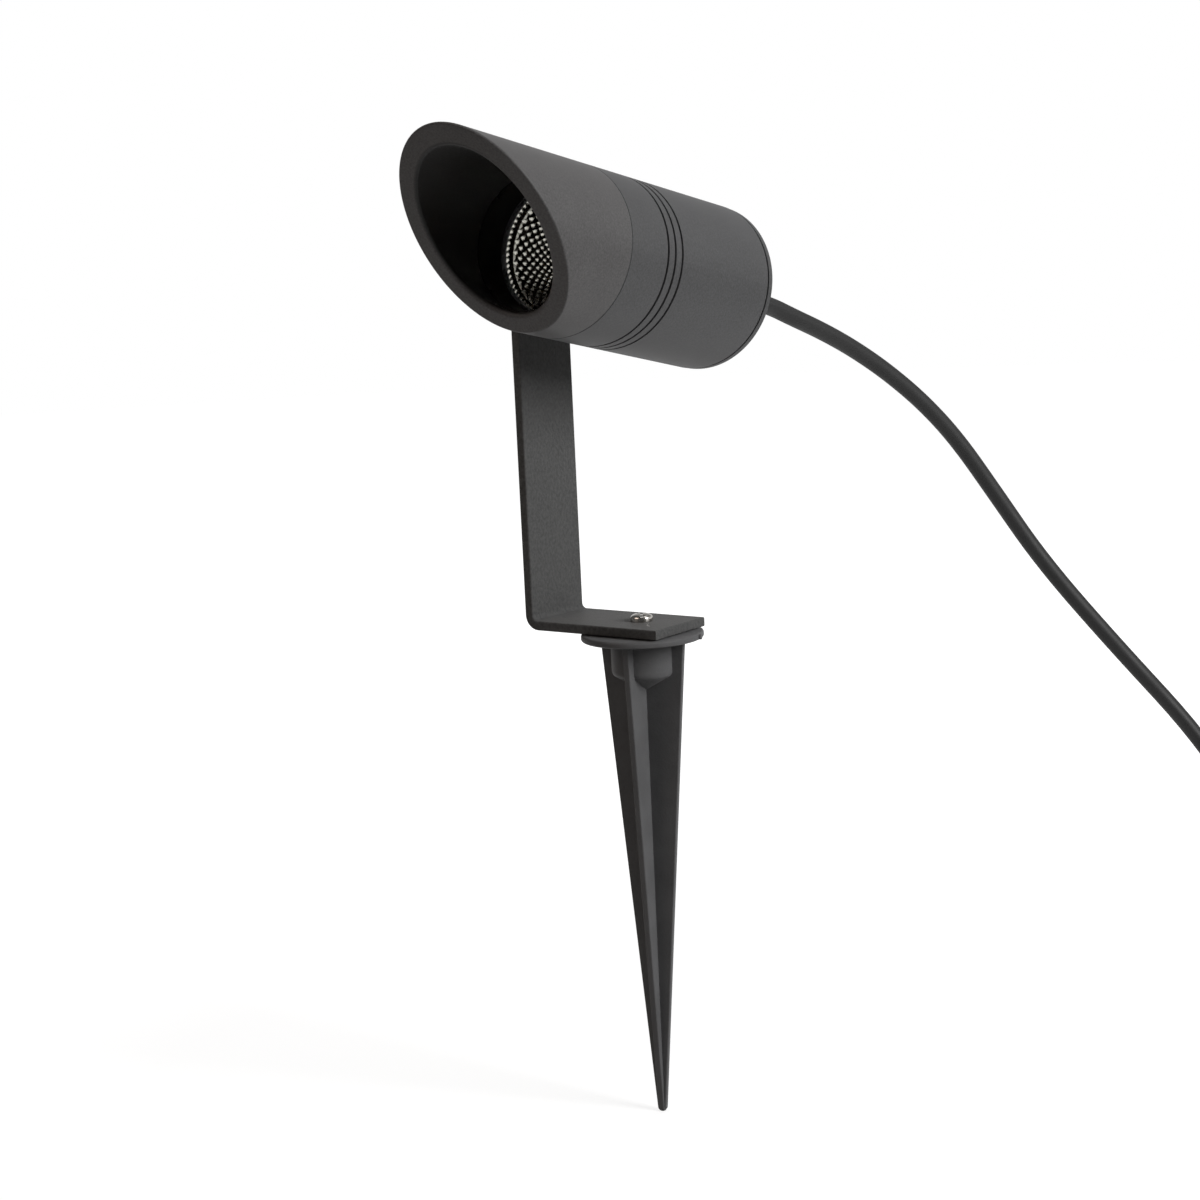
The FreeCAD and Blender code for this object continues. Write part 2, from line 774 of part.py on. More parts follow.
def make_driver():
    front = bulkhead_rear_place - driver_pad_thickness
    rear = front - driver_length
    middle = -driver_drop
    low = middle - driver_height / 2
    high = middle + driver_height / 2
    case = block((-driver_width / 2, driver_width / 2), (low, high), (rear, front))
    upright = [edge for edge in case.Edges if edge.BoundBox.ZLength > driver_length / 2]
    save("driver", aimed(case.makeFillet(driver_round, upright)))
    pad = block((-driver_width / 3, driver_width / 3), (middle - driver_height / 4, high - driver_round),
                (front, bulkhead_rear_place))
    save("driver_pad", aimed(pad))
    save("terminal_block", aimed(terminal_shape(high, rear)))
    save("supply_wires", aimed(Part.makeCompound(supply_wires(high, rear))))
    save("led_wires", aimed(Part.makeCompound(led_wires(front))))


def terminal_shape(bottom, rear):
    terminal = block((-terminal_width / 2, terminal_width / 2), (bottom, bottom + terminal_height),
                     (rear + terminal_setback, rear + terminal_setback + terminal_length))
    pitch = terminal_width / terminal_pole_count
    for pole in range(terminal_pole_count):
        x = (pole - (terminal_pole_count - 1) / 2) * pitch
        hole = along_z(terminal_hole_radius, rear - overrun, rear + terminal_length, x,
                       bottom + terminal_height / 2)
        terminal = terminal.cut(hole)
    return terminal


def supply_wires(bottom, rear):
    """Three cores that rise from the lead's cut end to the terminal block."""
    pitch = terminal_width / terminal_pole_count
    start_place = gland_mouth_place + lead_inner_length
    wires = []
    for pole in range(terminal_pole_count):
        step = pole - (terminal_pole_count - 1) / 2
        start = Vector(step * wire_spread, 0, start_place)
        end = Vector(step * pitch, bottom + terminal_height / 2, rear + terminal_setback)
        rise = Vector(0, 0, (end.z - start.z) / 3)
        wires.append(swept_tube(rounded_path([start, start + rise, end - rise, end]), wire_radius))
    return wires


def led_wires(driver_front):
    wires = []
    for side in (-1, 1):
        wires.append(along_z(wire_radius, driver_front, board_place + board_thickness / 2,
                             side * wire_spread, -led_wire_offset))
    return wires


# Rear cap, its gasket and screws

def make_rear_cap():
    gasket = tube(head_radius - cap_gasket_inset, body_inner_radius + seat_clearance,
                  cap_front_place, body_rear_place)
    save("cap_gasket", aimed(gasket))
    cap_radius = head_radius - cap_inset
    cap = along_z(cap_radius, cap_rear_place, cap_front_place)
    cap = cap.makeChamfer(cap_edge_bevel, circle_edges(cap, cap_radius, cap_rear_place))
    cap = cap.fuse(along_z(body_inner_radius - seat_clearance, cap_front_place, cap_inner_place))
    cap = cap.cut(along_z(gland_thread_radius + seat_clearance, cap_rear_place - overrun,
                          cap_inner_place + overrun))
    for hole in cap_screw_holes(small_screw_radius + seat_clearance, cap_rear_place - overrun,
                                cap_inner_place + overrun):
        cap = cap.cut(hole)
    save("rear_cap", aimed(cap))
    screw = cross_screw(small_screw_radius, cap_screw_length, cap_screw_head_radius, cap_screw_head_height)
    screw.rotate(Vector(0, 0, 0), Vector(1, 0, 0), 2 * quarter_turn)
    screw.translate(Vector(cap_screw_circle, 0, cap_rear_place))
    save("cap_screws", aimed(Part.makeCompound(around(screw, cap_screw_count, quarter_turn))))


# Cable gland: body, rubber seal, domed nut and locknut

def make_gland():
    bore = lead_radius + seat_clearance
    seal_radius = bore + gland_seal_wall
    thread_rear_place = gland_face_place - gland_thread_length
    body = hex_nut(gland_hex_radius, bore, gland_face_place, cap_rear_place)
    sleeve = tube(gland_thread_radius, bore, thread_rear_place, thread_end_place)
    seat = along_z(seal_radius + seat_clearance, thread_rear_place - overrun,
                   thread_rear_place + gland_seal_length / 2)
    save("gland_body", aimed(body.fuse(sleeve).cut(seat)))
    seal = tube(seal_radius, lead_radius + seat_clearance / 2, gland_mouth_place + gland_nose_thickness,
                thread_rear_place + gland_seal_length / 2)
    save("gland_seal", aimed(seal))
    save("gland_nut", aimed(gland_nut_shape(thread_rear_place, seal_radius, bore)))
    locknut = hex_nut(locknut_radius, gland_thread_radius + seat_clearance, cap_inner_place,
                      cap_inner_place + locknut_thickness)
    save("gland_locknut", aimed(locknut))


def gland_nut_shape(thread_rear_place, seal_radius, bore):
    hex_end = gland_nut_front_place - gland_nut_hex_length
    shoulder = gland_nut_radius * math.cos(math.pi / hex_sides)
    nut = hex_nut(gland_nut_radius, bore, hex_end, gland_nut_front_place)
    dome_mid = (hex_end + gland_mouth_place) / 2
    dome = revolved([
        (bore, hex_end),
        (shoulder, hex_end),
        (gland_nut_swell_share * shoulder, dome_mid),
        (gland_nut_nose_radius, gland_mouth_place),
        (bore, gland_mouth_place),
    ])
    nut = nut.fuse(dome)
    nut = nut.cut(along_z(gland_thread_radius + seat_clearance, thread_rear_place - seat_clearance,
                          gland_nut_front_place + overrun))
    nose_place = gland_mouth_place + gland_nose_thickness
    return nut.cut(along_z(seal_radius + seat_clearance, nose_place - seat_clearance,
                           thread_rear_place + overrun))


# Power lead: rounded runs, then a two-layer coil

def unit(vector):
    return vector * (1 / vector.Length)


def rounded_path(points):
    """Straight runs joined by tangent arcs as large as the runs allow."""
    edges = []
    radii = []
    start = points[0]
    for before, corner, after in zip(points, points[1:], points[2:]):
        arriving = corner - before
        leaving = after - corner
        setback = corner_setback_share * min(arriving.Length, leaving.Length)
        first = corner - unit(arriving) * setback
        last = corner + unit(leaving) * setback
        half_turn = arriving.getAngle(leaving) / 2
        radius = setback / math.tan(half_turn)
        inward = unit(unit(leaving) - unit(arriving))
        middle = corner + inward * (radius / math.cos(half_turn) - radius)
        edges.append(Part.LineSegment(start, first).toShape())
        edges.append(Part.Arc(first, middle, last).toShape())
        radii.append(round(radius))
        start = last
    edges.append(Part.LineSegment(start, points[-1]).toShape())
    print("arc radii", radii)
    return Part.Wire(edges)


def swept_tube(path, radius):
    first = path.Edges[0]
    start = first.valueAt(first.FirstParameter)
    section = Part.Wire(Part.Circle(start, first.tangentAt(first.FirstParameter), radius).toShape())
    solid = path.makePipeShell([section], True, False)
    expected = math.pi * radius ** 2 * path.Length
    print("tube", round(path.Length, 1), "volume share", round(solid.Volume / expected, 4))
    return solid


def arc_between(start, tangent, end):
    chord = end - start
    along = unit(chord)
    lean = tangent - along * tangent.dot(along)
    angle = tangent.getAngle(chord)
    middle = start + chord * 0.5 + unit(lean) * (chord.Length / 2 * math.tan(angle / 2))
    return Part.Arc(start, middle, end).toShape()


def biarc(start, start_tangent, end, end_tangent):
    """Two arcs that meet smoothly and keep both end directions."""
    chord = end - start
    both = start_tangent + end_tangent
    spread = 2 * (1 - start_tangent.dot(end_tangent))
    across = chord.dot(both)
    reach = (math.sqrt(across ** 2 + spread * chord.dot(chord)) - across) / spread
    joint = (start + start_tangent * reach + end - end_tangent * reach) * 0.5
    second = arc_between(end, end_tangent * -1, joint)
    middle = second.valueAt((second.FirstParameter + second.LastParameter) / 2)
    return [arc_between(start, start_tangent, joint), Part.Arc(joint, middle, end).toShape()]


def coil_radius(turns):
    inner = coil_start_radius - coil_pitch * coil_turns_in
    if turns <= coil_turns_in:
        return coil_start_radius - coil_pitch * turns
    return inner + coil_pitch * (turns - coil_turns_in)


def coil_point(turns):
    climb = (turns - coil_turns_in) / coil_climb_turns + 0.5
    climb = min(max(climb, 0), 1)
    rise = coil_layer_height * (1 - math.cos(math.pi * climb)) / 2
    bearing = math.radians(quarter_turn - full_turn * turns)
    radius = coil_radius(turns)
    return Vector(coil_centre_x + radius * math.cos(bearing), coil_centre_y + radius * math.sin(bearing),
                  lead_floor_height + rise)


def coil_end_turns():
    return coil_turns_in + coil_turns_out


def coil_direction(turns):
    if 0 < turns < coil_end_turns():
        step = 1 / full_turn
        return unit(coil_point(turns + step) - coil_point(turns - step))
    bearing = math.radians(quarter_turn - full_turn * turns)
    swing = Vector(math.sin(bearing), -math.cos(bearing), 0)
    outward = Vector(math.cos(bearing), math.sin(bearing), 0)
    widening = -coil_pitch if turns == 0 else coil_pitch
    return unit(swing * (2 * math.pi * coil_radius(turns)) + outward * widening)


def coil_start():
    """Where the coil's tube begins, one diameter before the first turn, and its direction."""
    direction = coil_direction(0)
    return coil_point(0) - direction * (2 * lead_radius), direction


def coil_finish():
    direction = coil_direction(coil_end_turns())
    return coil_point(coil_end_turns()) + direction * (2 * lead_radius), direction


def coil_self_gap():
    count = int(coil_samples_per_turn * coil_end_turns()) + 1
    samples = [coil_point(index / coil_samples_per_turn) for index in range(count)]
    least = min(samples[first].distanceToPoint(samples[second])
                for first in range(len(samples))
                for second in range(first + coil_samples_per_turn // 2, len(samples)))
    return least - 2 * lead_radius


def make_coil():
    start, direction = coil_start()
    finish, end_direction = coil_finish()
    steps = int(round(coil_end_turns() * coil_arcs_per_turn))
    edges = [Part.LineSegment(start, coil_point(0)).toShape()]
    for step in range(steps):
        first = step / coil_arcs_per_turn
        second = (step + 1) / coil_arcs_per_turn
        edges.extend(biarc(coil_point(first), coil_direction(first),
                           coil_point(second), coil_direction(second)))
    edges.append(Part.LineSegment(coil_point(coil_end_turns()), finish).toShape())
    print("least gap of the coil to itself", round(coil_self_gap(), 2))
    save("lead_coil", swept_tube(Part.Wire(edges), lead_radius))


def lead_route():
    """The free lead from the gland, down through the air and onto the ground beside the coil."""
    gland_mouth = head_point(0, 0, gland_mouth_place)
    straight_out = head_point(0, 0, gland_mouth_place - lead_first_run)
    meeting, direction = coil_start()
    return [
        gland_mouth,
        straight_out,
        Vector(2, 122, 125),
        Vector(5, 143, 117),
        Vector(9, 163, 107.5),
        Vector(15, 183, 95),
        Vector(23, 202, 79),
        Vector(31, 219, 60),
        Vector(41, 235, 34),
        Vector(57, 253, -2),
        Vector(84, 274, -44),
        Vector(117, 299, -92),
        Vector(140, 306, -131),
        Vector(159, 306, -161),
        Vector(177, 300, -190),
        meeting - direction * lead_last_run,
        meeting,
    ]


def plug_entry():
    return Vector(coil_centre_x + coil_radius(coil_end_turns()) + plug_side_shift,
                  coil_centre_y - plug_distance, floor_height + plug_radius)


def tail_route():
    finish, direction = coil_finish()
    entry = plug_entry()
    return [
        finish,
        finish + direction * tail_run,
        entry + Vector(0, tail_run, 0),
        entry,
    ]


def make_lead():
    inner = along_z(lead_radius, gland_mouth_place, gland_mouth_place + lead_inner_length)
    save("lead_inlet", aimed(inner))
    save("lead_free", swept_tube(rounded_path(lead_route()), lead_radius))
    make_coil()
    save("lead_tail", swept_tube(rounded_path(tail_route()), lead_radius))


# Plug, built along +Z from the lead's entry and laid on the ground with its pins to -Y

def laid(shape):
    placed = shape.copy()
    placed.rotate(Vector(0, 0, 0), Vector(1, 0, 0), quarter_turn)
    placed.translate(plug_entry())
    return placed


def plug_body_shape(start, end):
    front_start = end - plug_front_length
    waist = start + plug_waist_place
    body = revolved([
        (0, start),
        (plug_rear_radius, start),
        (plug_waist_radius, waist),
        (plug_radius, front_start),
        (plug_radius, end),
        (0, end),
    ])
    edges = circle_edges(body, plug_radius, end) + circle_edges(body, plug_rear_radius, start)
    body = body.makeFillet(plug_edge_round, edges)
    groove = block((plug_radius - plug_grip_depth, plug_radius + overrun),
                   (-plug_grip_width / 2, plug_grip_width / 2), (front_start, end - plug_front_length / 4))
    for cutter in around(groove, plug_grip_count, full_turn / plug_grip_count / 2):
        body = body.cut(cutter)
    return body


def make_plug():
    start = relief_length
    end = start + plug_body_length
    half_strip = earth_strip_width / 2
    body = plug_body_shape(start, end)
    strips = []
    for sign in (-1, 1):
        recess = block((-half_strip, half_strip),
                       (sign * (plug_radius - earth_strip_thickness), sign * (plug_radius + overrun)),
                       (end - earth_strip_length, end + overrun))
        body = body.cut(recess)
        inner_face = plug_radius - earth_strip_thickness
        strips.append(block((-half_strip + seat_clearance, half_strip - seat_clearance),
                            (sign * inner_face, sign * (inner_face + earth_strip_thickness / 2)),
                            (end - earth_strip_length, end)))
    pins = []
    for sign in (-1, 1):
        pin = along_z(pin_radius, end, end + pin_length, sign * pin_spacing / 2)
        tips = [edge for edge in pin.Edges if edge.BoundBox.ZMin > end + pin_length / 2
                and isinstance(edge.Curve, Part.Circle)]
        pins.append(pin.makeFillet(pin_tip_round, tips))
    save("plug_body", laid(body))
    save("plug_pins", laid(Part.makeCompound(pins)))
    save("plug_earth_strips", laid(Part.makeCompound(strips)))
    relief = revolved([
        (0, 0),
        (relief_tip_radius, 0),
        (relief_root_radius, relief_length),
        (0, relief_length),
    ])
    half_slot = relief_slot_width / 2
    for index in range(relief_slot_count):
        place = relief_length - (index + 1) * relief_slot_pitch
        for sign in (-1, 1):
            slot = block((sign * (lead_radius + half_slot), sign * plug_radius),
                         (-plug_radius, plug_radius), (place - half_slot, place + half_slot))
            relief = relief.cut(slot)
    save("plug_relief", laid(relief))


make_spike()
make_foot_screw()
make_bracket()
make_pivot()
make_body()
make_cowl()
make_glazing()
make_reflector()
make_light_source()
make_driver()
make_rear_cap()
make_gland()
make_lead()
make_plug()
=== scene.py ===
import json
import math

import bpy
from mathutils import Matrix, Vector


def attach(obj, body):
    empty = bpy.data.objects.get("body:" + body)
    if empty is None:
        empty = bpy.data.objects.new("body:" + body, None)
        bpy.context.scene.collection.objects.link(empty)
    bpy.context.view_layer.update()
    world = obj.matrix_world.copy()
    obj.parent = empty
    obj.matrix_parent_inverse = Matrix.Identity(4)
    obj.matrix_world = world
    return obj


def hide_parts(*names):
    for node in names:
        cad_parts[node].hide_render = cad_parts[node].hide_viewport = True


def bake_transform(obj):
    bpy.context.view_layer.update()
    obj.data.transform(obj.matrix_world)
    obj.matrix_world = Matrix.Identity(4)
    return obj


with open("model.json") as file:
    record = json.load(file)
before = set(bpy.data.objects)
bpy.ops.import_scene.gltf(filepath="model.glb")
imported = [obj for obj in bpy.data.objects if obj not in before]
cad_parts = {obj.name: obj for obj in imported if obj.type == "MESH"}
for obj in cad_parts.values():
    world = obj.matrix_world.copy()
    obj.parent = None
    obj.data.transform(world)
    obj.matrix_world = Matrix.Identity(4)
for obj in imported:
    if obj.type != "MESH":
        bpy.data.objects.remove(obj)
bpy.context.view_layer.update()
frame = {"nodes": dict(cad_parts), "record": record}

# Sizes of the light, in metres and in the frame of its solids
pivot_height = 0.15375
head_tilt = math.radians(11.8)
cowl_bore_radius = 0.0274
floor_height = -0.2066

# Reflector, along the head's axis from the pivot
reflector_rim_radius = 0.0263
reflector_neck_radius = 0.008
reflector_neck_place = 0.022
reflector_rim_place = 0.0445
reflector_flange_radius = 0.0288
reflector_flange_thickness = 0.0008
reflector_wall = 0.0011
collar_radius = 0.0249
facet_columns = 36
facet_ring_share = 0.30
facet_rise_share = 0.29
facet_tip_share = 0.10
wall_ring_step = 4

# Foot screw
screw_sides = 64
screw_head_radius = 0.0047
screw_head_height = 0.0033
screw_rim_height = 0.0010
screw_crown_power = 2.6
screw_ring_shares = (1.0, 0.995, 0.98, 0.955, 0.92, 0.87, 0.81,
                     0.73, 0.64, 0.53, 0.40, 0.27, 0.14, 0.04)
screw_shank_radius = 0.0025
screw_shank_length = 0.015
screw_tip_bevel = 0.0005
screw_seat_height = 0.0074
screw_turn = math.radians(-53.3)
screw_edge_round = 0.00012
screw_edge_segments = 2
screw_bevel_angle = math.radians(40)
recess_width = 0.0014
recess_length = 0.0052
recess_depth = 0.0018
recess_floor_share = 0.55
slot_width = 0.0012
slot_depth = 0.0013
slot_overrun = 0.002
slot_floor_share = 0.85

# Power lead
lead_radius = 0.004
lead_quarter_steps = 6
line_steps = 6
line_order = 3
lead_floor = floor_height + lead_radius
coil_centre = Vector((0.235, 0.240, lead_floor))
coil_start_radius = 0.0515
coil_pitch = 0.0086
coil_layer_height = 0.0086
coil_turns_in = 1.75
coil_turns_out = 1.5
coil_climb_turns = 0.5
points_per_turn = 16
gland_mouth = Vector((0, 0.08046, 0.13694))
free_run = [
    (0, 0.10395, 0.13203),
    (0.002, 0.122, 0.125),
    (0.005, 0.143, 0.117),
    (0.009, 0.163, 0.1075),
    (0.015, 0.183, 0.095),
    (0.023, 0.202, 0.079),
    (0.031, 0.219, 0.060),
    (0.041, 0.235, 0.034),
    (0.057, 0.253, -0.002),
    (0.084, 0.274, -0.044),
    (0.117, 0.299, -0.092),
    (0.140, 0.306, -0.131),
    (0.159, 0.306, -0.161),
    (0.177, 0.300, -0.190),
    (0.19901, 0.29246, lead_floor),
    (0.22700, 0.29171, lead_floor),
]
coil_finish = Vector((0.28507, 0.21401, lead_floor + coil_layer_height))
plug_entry = Vector((0.27835, 0.174, -0.1876))
tail_run = 0.018

# Angles in degrees between faces under which a piece is shaded smooth
solid_smooth_angle = 30
lead_smooth_angle = 50
screw_smooth_angle = 35
facet_smooth_angle = 80

# Levels of a noise between which a finish changes
grain_levels = (0.3, 0.7)
cloud_levels = (0.35, 0.65)
dust_levels = (0.4, 0.8)
coat_cloud_scale = 45.0
plastic_cloud_scale = 60.0
dust_scale = 900.0

# How far the tone and the roughness of a finish vary, and how rough its diffuse part is
coat_levels = (1.0, 0.94)
coat_roughness_swing = 0.06
plastic_tone_swing = 0.08
plastic_roughness_swing = 0.05
metal_dark_share = 0.93
metal_roughness_shares = (0.8, 1.2)
coat_diffuse_roughness = 1.0
plastic_diffuse_roughness = 0.6

# Front glass
glass_tint = (0.97, 0.985, 0.98)
glass_index = 1.46
dust_roughness = 0.03

# Cosines between the reflector's normals and the head's axis, where its colour goes from painted
# shade to the lit metal tone
painted_shade_cosine = 0.52
lit_metal_cosine = 0.70

# How far outside the cowl's bore the near-black of painted shade ends and the outer coat begins
bore_shade_end = 0.0002
coat_start = 0.0012

# Floor: its own colour, the colour that takes the shadow, and its glow by distance from the spike
floor_radius = 4.0
floor_sides = 96
floor_colour = (0.40, 0.40, 0.40)
shadow_colour = (0.3, 0.3, 0.3)
glow_places = (0.25, 0.8)
glow_levels = (0.78, 1.0)

# Light: how bright the backdrop is for the object, where the lamps aim, and one lamp's tint
ambient_level = 0.03
lamp_target = Vector((0, 0, 0.05))
front_light_colour = (1.0, 0.85, 0.75)

# How white the room in front of the light, the backdrop's foot and top, and the floor are in
# mirrored rays, and where each changes into the next
room_share = 0.04
backdrop_foot_share = 0.80
backdrop_top_share = 0.20
near_floor_share = 0.80
far_floor_share = 0.08
floor_turn = (0.6, 1.2)
table_edge = (-0.5, 0.1)
backdrop_rise = (0.1, 0.6)
backdrop_edge = (-0.5, 0.3)

# Camera
camera_place = Vector((0.61663, -0.85472, 0.19054))
camera_right = Vector((0.8051, 0.5914, -0.0457))
camera_up = Vector((-0.0600, 0.1578, 0.9856))
camera_back = Vector((0.5901, -0.7908, 0.1625))
camera_lens = 76.97
camera_sensor = 36.0

# Limits for choosing edges and faces: heights nearer than this are one, a face looks inwards where
# its normal times its place is less than this, and down where its normal's height is less
same_place = 1e-6
inward_limit = -1e-4
downward_limit = -0.9


# Small helpers

def clear_selection():
    if bpy.context.object and bpy.context.object.mode != "OBJECT":
        bpy.ops.object.mode_set(mode="OBJECT")
    bpy.ops.object.select_all(action="DESELECT")


def hold(piece):
    """Make one piece the only selected and active one."""
    clear_selection()
    piece.select_set(True)
    bpy.context.view_layer.objects.active = piece


def head_frame():
    """The matrix that carries a piece drawn along +Z onto the head's axis."""
    turn = Matrix.Rotation(math.pi / 2 - head_tilt, 4, "X")
    return Matrix.Translation((0, 0, pivot_height)) @ turn


def smooth(piece, degrees):
    """Shade a piece smooth, apart from its edges sharper than the angle."""
    hold(piece)
    bpy.ops.object.shade_smooth_by_angle(angle=math.radians(degrees))


# Materials

def new_material(name):
    material = bpy.data.materials.new(name)
    material.use_nodes = True
    tree = material.node_tree
    return material, tree, tree.nodes["Principled BSDF"]


def object_place(tree, turned_to_head=False):
    """Object coordinates, if asked with Z along the head's axis, counted from the pivot."""
    coordinates = tree.nodes.new("ShaderNodeTexCoord")
    mapping = tree.nodes.new("ShaderNodeMapping")
    if turned_to_head:
        mapping.vector_type = "TEXTURE"
        mapping.inputs["Location"].default_value = (0, 0, pivot_height)
        mapping.inputs["Rotation"].default_value = (math.pi / 2 - head_tilt, 0, 0)
    tree.links.new(coordinates.outputs["Object"], mapping.inputs["Vector"])
    return mapping.outputs["Vector"]


def noise(tree, place, scale, detail=2.0, roughness=0.5):
    texture = tree.nodes.new("ShaderNodeTexNoise")
    texture.inputs["Scale"].default_value = scale
    texture.inputs["Detail"].default_value = detail
    texture.inputs["Roughness"].default_value = roughness
    tree.links.new(place, texture.inputs["Vector"])
    return texture.outputs["Fac"]


def spread(tree, value, low, high, to_low, to_high):
    """Stretch a value between two of its levels onto a new range."""
    mapped = tree.nodes.new("ShaderNodeMapRange")
    mapped.inputs["From Min"].default_value = low
    mapped.inputs["From Max"].default_value = high
    mapped.inputs["To Min"].default_value = to_low
    mapped.inputs["To Max"].default_value = to_high
    tree.links.new(value, mapped.inputs["Value"])
    return mapped.outputs["Result"]


def blend_colours(tree, share, first, second):
    mix = tree.nodes.new("ShaderNodeMix")
    mix.data_type = "RGBA"
    for socket, colour in ((mix.inputs["A"], first), (mix.inputs["B"], second)):
        if isinstance(colour, bpy.types.NodeSocket):
            tree.links.new(colour, socket)
        else:
            socket.default_value = (*colour, 1)
    tree.links.new(share, mix.inputs["Factor"])
    return mix.outputs["Result"]


def raise_surface(tree, shader, height, distance):
    """Light the surface as if the height, times the distance, stood out from it."""
    bump = tree.nodes.new("ShaderNodeBump")
    bump.inputs["Distance"].default_value = distance
    tree.links.new(height, bump.inputs["Height"])
    tree.links.new(bump.outputs["Normal"], shader.inputs["Normal"])


def scaled(colour, factor):
    return tuple(channel * factor for channel in colour)


def powder_coat(name, colour, grain, contrast, roughness, depth, gloss=0.12):
    """Baked powder paint: fine grains, soft clouds and a dull shine."""
    material, tree, shader = new_material(name)
    shader.inputs["Specular IOR Level"].default_value = gloss
    shader.inputs["Diffuse Roughness"].default_value = coat_diffuse_roughness
    place = object_place(tree)
    grains = noise(tree, place, 1 / grain, detail=3.0, roughness=0.6)
    clouds = noise(tree, place, coat_cloud_scale)
    share = spread(tree, grains, *grain_levels, 0.0, 1.0)
    fine, cloudy = (blend_colours(tree, share, scaled(colour, level - contrast),
                                  scaled(colour, level + contrast))
                    for level in coat_levels)
    tone = blend_colours(tree, spread(tree, clouds, *cloud_levels, 0.0, 1.0), fine, cloudy)
    tree.links.new(tone, shader.inputs["Base Color"])
    shine = spread(tree, grains, *grain_levels,
                   roughness - coat_roughness_swing, roughness + coat_roughness_swing)
    tree.links.new(shine, shader.inputs["Roughness"])
    raise_surface(tree, shader, grains, depth)
    return material


def moulded_plastic(name, colour, grain, roughness, depth, gloss=0.12):
    """Plastic or rubber from a mould: an even tone with soft clouds and a fine grain."""
    material, tree, shader = new_material(name)
    shader.inputs["Specular IOR Level"].default_value = gloss
    shader.inputs["Diffuse Roughness"].default_value = plastic_diffuse_roughness
    place = object_place(tree)
    grains = noise(tree, place, 1 / grain)
    clouds = noise(tree, place, plastic_cloud_scale, detail=3.0)
    tone = blend_colours(tree, spread(tree, clouds, *cloud_levels, 0.0, 1.0),
                         scaled(colour, 1 - plastic_tone_swing),
                         scaled(colour, 1 + plastic_tone_swing))
    tree.links.new(tone, shader.inputs["Base Color"])
    shine = spread(tree, clouds, *grain_levels,
                   roughness - plastic_roughness_swing, roughness + plastic_roughness_swing)
    tree.links.new(shine, shader.inputs["Roughness"])
    raise_surface(tree, shader, grains, depth)
    return material


def bright_metal(name, colour, roughness, grain, depth):
    """Bare or plated metal with a faint grain in its tone and its shine."""
    material, tree, shader = new_material(name)
    shader.inputs["Metallic"].default_value = 1.0
    place = object_place(tree)
    grains = noise(tree, place, 1 / grain, detail=3.0)
    tone = blend_colours(tree, spread(tree, grains, *cloud_levels, 0.0, 1.0),
                         scaled(colour, metal_dark_share), colour)
    tree.links.new(tone, shader.inputs["Base Color"])
    smoother, rougher = (roughness * share for share in metal_roughness_shares)
    tree.links.new(spread(tree, grains, *grain_levels, smoother, rougher),
                   shader.inputs["Roughness"])
    raise_surface(tree, shader, grains, depth)
    return material


def painted_shade_metal(name, colour, painted_shade_colour, roughness):
    """Metal with painted shade and reflection: its own tone where it faces the mouth, painted dark
    where it turns away, so that each dome shows one bright dot.
    """
    material = bright_metal(name, colour, roughness, grain=0.0020, depth=0.000002)
    tree = material.node_tree
    shader = tree.nodes["Principled BSDF"]
    lit_colour = shader.inputs["Base Color"].links[0].from_socket
    facing = tree.nodes.new("ShaderNodeVectorMath")
    facing.operation = "DOT_PRODUCT"
    facing.inputs[1].default_value = (0, -math.cos(head_tilt), math.sin(head_tilt))
    tree.links.new(tree.nodes.new("ShaderNodeTexCoord").outputs["Normal"], facing.inputs[0])
    # Painted shade: the colour darkens as the facet's normal turns away from the head's axis
    share = spread(tree, facing.outputs["Value"], painted_shade_cosine, lit_metal_cosine, 0.0, 1.0)
    tree.links.new(blend_colours(tree, share, painted_shade_colour, lit_colour), shader.inputs["Base Color"])
    return material


def clear_glass(name):
    """Clear glass with a trace of dust."""
    material, tree, shader = new_material(name)
    shader.inputs["Base Color"].default_value = (*glass_tint, 1)
    shader.inputs["Transmission Weight"].default_value = 1.0
    shader.inputs["IOR"].default_value = glass_index
    place = object_place(tree)
    dust = noise(tree, place, dust_scale)
    tree.links.new(spread(tree, dust, *dust_levels, 0.0, dust_roughness),
                   shader.inputs["Roughness"])
    return material


def cowl_coat_and_bore_shade(name, colour, bore_shade_colour):
    """The head's coat outside and on the rim, and near-black down the bore as painted shade in the
    recess.
    """
    material = powder_coat(name, colour, *head_finish)
    tree = material.node_tree
    shader = tree.nodes["Principled BSDF"]
    outside = shader.inputs["Base Color"].links[0].from_socket
    place = object_place(tree, turned_to_head=True)
    parts = tree.nodes.new("ShaderNodeSeparateXYZ")
    tree.links.new(place, parts.inputs["Vector"])
    flat = tree.nodes.new("ShaderNodeCombineXYZ")
    tree.links.new(parts.outputs["X"], flat.inputs["X"])
    tree.links.new(parts.outputs["Y"], flat.inputs["Y"])
    length = tree.nodes.new("ShaderNodeVectorMath")
    length.operation = "LENGTH"
    tree.links.new(flat.outputs["Vector"], length.inputs[0])
    # Painted shade: the bore is coloured near-black where it lies deep in the cowl
    outer_share = spread(tree, length.outputs["Value"], cowl_bore_radius + bore_shade_end,
                         cowl_bore_radius + coat_start, 0.0, 1.0)
    tone = blend_colours(tree, outer_share, bore_shade_colour, outside)
    tree.links.new(tone, shader.inputs["Base Color"])
    return material


head_colour = (0.084, 0.084, 0.086)
cowl_colour = (0.102, 0.099, 0.099)
bracket_colour = (0.098, 0.098, 0.097)
spike_colour = (0.112, 0.112, 0.114)
black_colour = (0.012, 0.011, 0.010)
reflector_colour = (0.70, 0.67, 0.61)
# Painted shade: the reflector's colour where its facets turn away from the mouth
reflector_painted_shade_colour = (0.05, 0.042, 0.035)

# A coat's grain size, contrast, roughness, grain depth and, where it isn't the usual, gloss
head_finish = (0.0008, 0.24, 0.5, 0.00003, 0.3)
bracket_finish = (0.0014, 0.20, 0.58, 0.00020, 0.18)
inner_finish = (0.0005, 0.10, 0.6, 0.00002)

